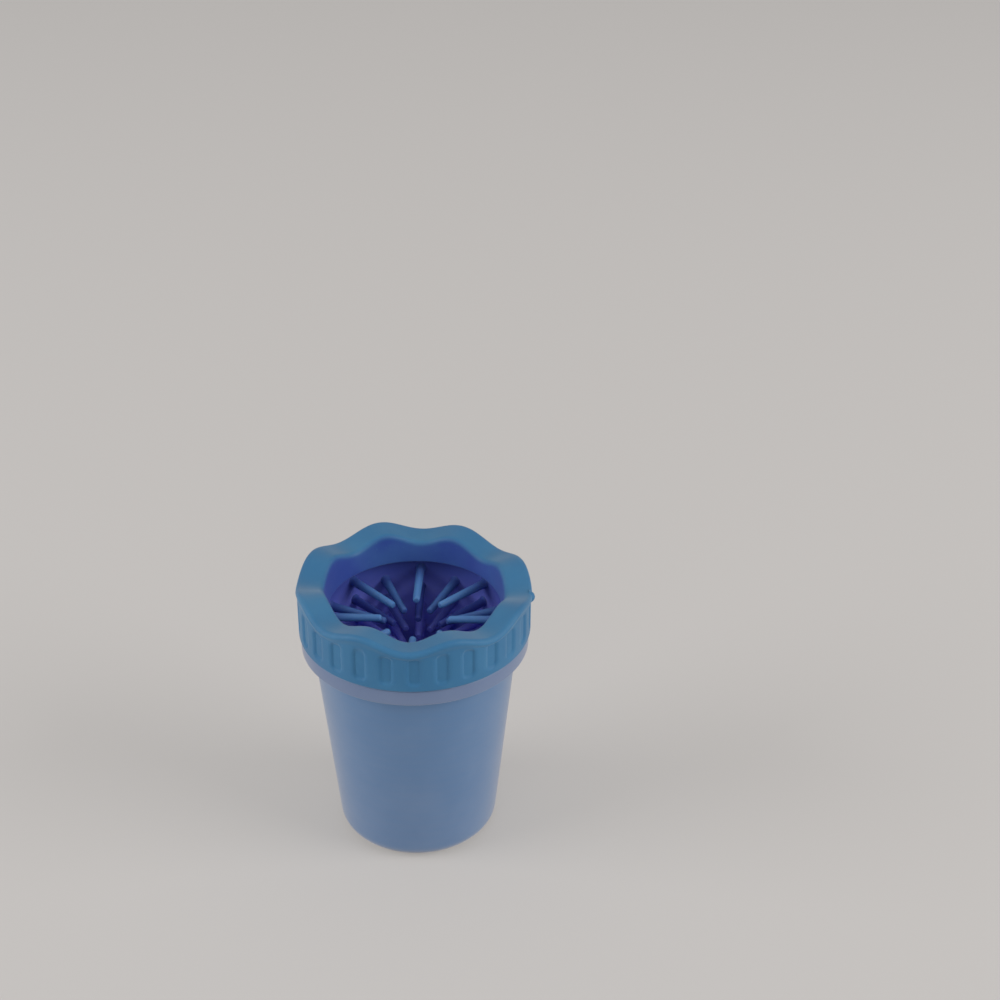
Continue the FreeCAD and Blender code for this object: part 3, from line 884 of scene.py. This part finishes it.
def wavy_collar(silicone):
    piece = grown("wavy_collar", outline_mesh("collar_section", collar_outline()), fluted_ring_tree(), {
        "Steps Per Flute": STEPS_PER_FLUTE, "Flutes": FLUTES, "Flute Width": FLUTE_WIDTH,
        "Flute Depth": FLUTE_DEPTH, "Flute Corner": FLUTE_CORNER, "Flute Edge": FLUTE_EDGE,
        "Flute Bottom": COLLAR_BOTTOM + FLUTE_BOTTOM_LAND, "Flute Top": LIP_BOTTOM - FLUTE_TOP_LAND,
        "Lobes": RIM_LOBES, "Wave Height": RIM_WAVE, "Lean Height": RIM_LEAN,
        "Lean Heading": RIM_LEAN_HEADING, "Skirt Radius": COLLAR_RADIUS, "Finish": silicone})
    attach(piece, "collar")
    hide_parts("grip_collar")


def collar_nub(silicone):
    """A small round bump on the skirt, with a soft foot where it meets the wall."""
    outline = [Vector((0, 0))] + [Vector((girth * MM, along * MM)) for along, girth in NUB_PROFILE]
    piece = turned("collar_nub", outline, NUB_SEGMENTS)
    lift = Matrix.Translation((COLLAR_RADIUS - NUB_SINK, 0, COLLAR_BOTTOM + NUB_RISE))
    piece.data.transform(lift @ Matrix.Rotation(math.pi / 2, 4, "Y"))
    piece.data.materials.append(silicone)
    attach(piece, "collar")


# ---------------------------------------------------------------- stage, light and camera

FLOOR_REACH = 6.0
LIGHT_AIM = (0, 0, 0.06)
# each soft light's name, place, width and power in watts
SOFTBOXES = [
    ("top_softbox", (0.0, 0.2, 2.4), 3.0, 6.0),
    ("front_softbox", (-0.3, -2.6, 1.0), 2.6, 12.0),
    ("right_softbox", (2.5, -0.7, 1.25), 2.0, 53.0),
    ("left_softbox", (-2.5, -0.7, 1.25), 2.0, 47.0),
]
BACKDROP_STRENGTH = 0.57

CAMERA_DISTANCE = 0.6195
CAMERA_HEIGHT = 0.5107
CAMERA_TURN = math.radians(4.3)
CAMERA_HEADING = math.radians(3.37) - CAMERA_TURN
CAMERA_PITCH = math.radians(29.28)
CAMERA_ROLL = math.radians(0.4)
LENS_LENGTH = 61.45
SENSOR_WIDTH = 36.0
NEAREST_SEEN = 0.01


def stage_floor():
    mesh = bpy.data.meshes.new("stage_floor")
    corners = [(-1, -1), (1, -1), (1, 1), (-1, 1)]
    mesh.from_pydata([(x * FLOOR_REACH, y * FLOOR_REACH, 0) for x, y in corners], [], [(0, 1, 2, 3)])
    floor = bpy.data.objects.new("stage_floor", mesh)
    bpy.context.collection.objects.link(floor)
    material = bpy.data.materials.new("pale_floor")
    material.use_nodes = True
    inputs = principled(material).inputs
    inputs["Base Color"].default_value = srgb(150, 147, 145)
    inputs["Emission Color"].default_value = srgb(205, 202, 199)
    inputs["Emission Strength"].default_value = 0.42
    inputs["Roughness"].default_value = 0.9
    mesh.materials.append(material)


def soft_light(name, place, width, power):
    lamp = bpy.data.lights.new(name, "AREA")
    lamp.shape = "DISK"
    lamp.size = width
    lamp.energy = power
    lamp_object = bpy.data.objects.new(name, lamp)
    lamp_object.location = place
    lamp_object.rotation_euler = (Vector(LIGHT_AIM) - Vector(place)).to_track_quat("-Z", "Y").to_euler()
    bpy.context.collection.objects.link(lamp_object)


def studio_light():
    for softbox in SOFTBOXES:
        soft_light(*softbox)
    world = bpy.data.worlds.new("pale_room")
    world.use_nodes = True
    backdrop = world.node_tree.nodes["Background"]
    backdrop.inputs["Color"].default_value = srgb(205, 203, 202)
    backdrop.inputs["Strength"].default_value = BACKDROP_STRENGTH
    bpy.context.scene.world = world


def studio_camera():
    """Camera above and in front; the cup stands turned a little from the camera's own heading."""
    forward = Vector((math.sin(CAMERA_HEADING) * math.cos(CAMERA_PITCH),
                      math.cos(CAMERA_HEADING) * math.cos(CAMERA_PITCH), -math.sin(CAMERA_PITCH)))
    level = Vector((math.cos(CAMERA_HEADING), -math.sin(CAMERA_HEADING), 0))
    up = level.cross(forward)
    right = level * math.cos(CAMERA_ROLL) + up * math.sin(CAMERA_ROLL)
    top = up * math.cos(CAMERA_ROLL) - level * math.sin(CAMERA_ROLL)
    camera = bpy.data.cameras.new("studio_camera")
    camera.sensor_width = SENSOR_WIDTH
    camera.lens = LENS_LENGTH
    camera.clip_start = NEAREST_SEEN
    camera_object = bpy.data.objects.new("studio_camera", camera)
    camera_frame = Matrix((right, top, -forward)).transposed().to_4x4()
    camera_frame.translation = (CAMERA_DISTANCE * math.sin(CAMERA_TURN),
                                -CAMERA_DISTANCE * math.cos(CAMERA_TURN), CAMERA_HEIGHT)
    camera_object.matrix_world = camera_frame
    bpy.context.collection.objects.link(camera_object)
    bpy.context.scene.camera = camera_object


studio_camera()
stage_floor()
studio_light()
bpy.context.scene.view_settings.view_transform = "Standard"

frosted_cup()
soft_sleeve()
finger_brush()
silicone = collar_silicone()
wavy_collar(silicone)
collar_nub(silicone)
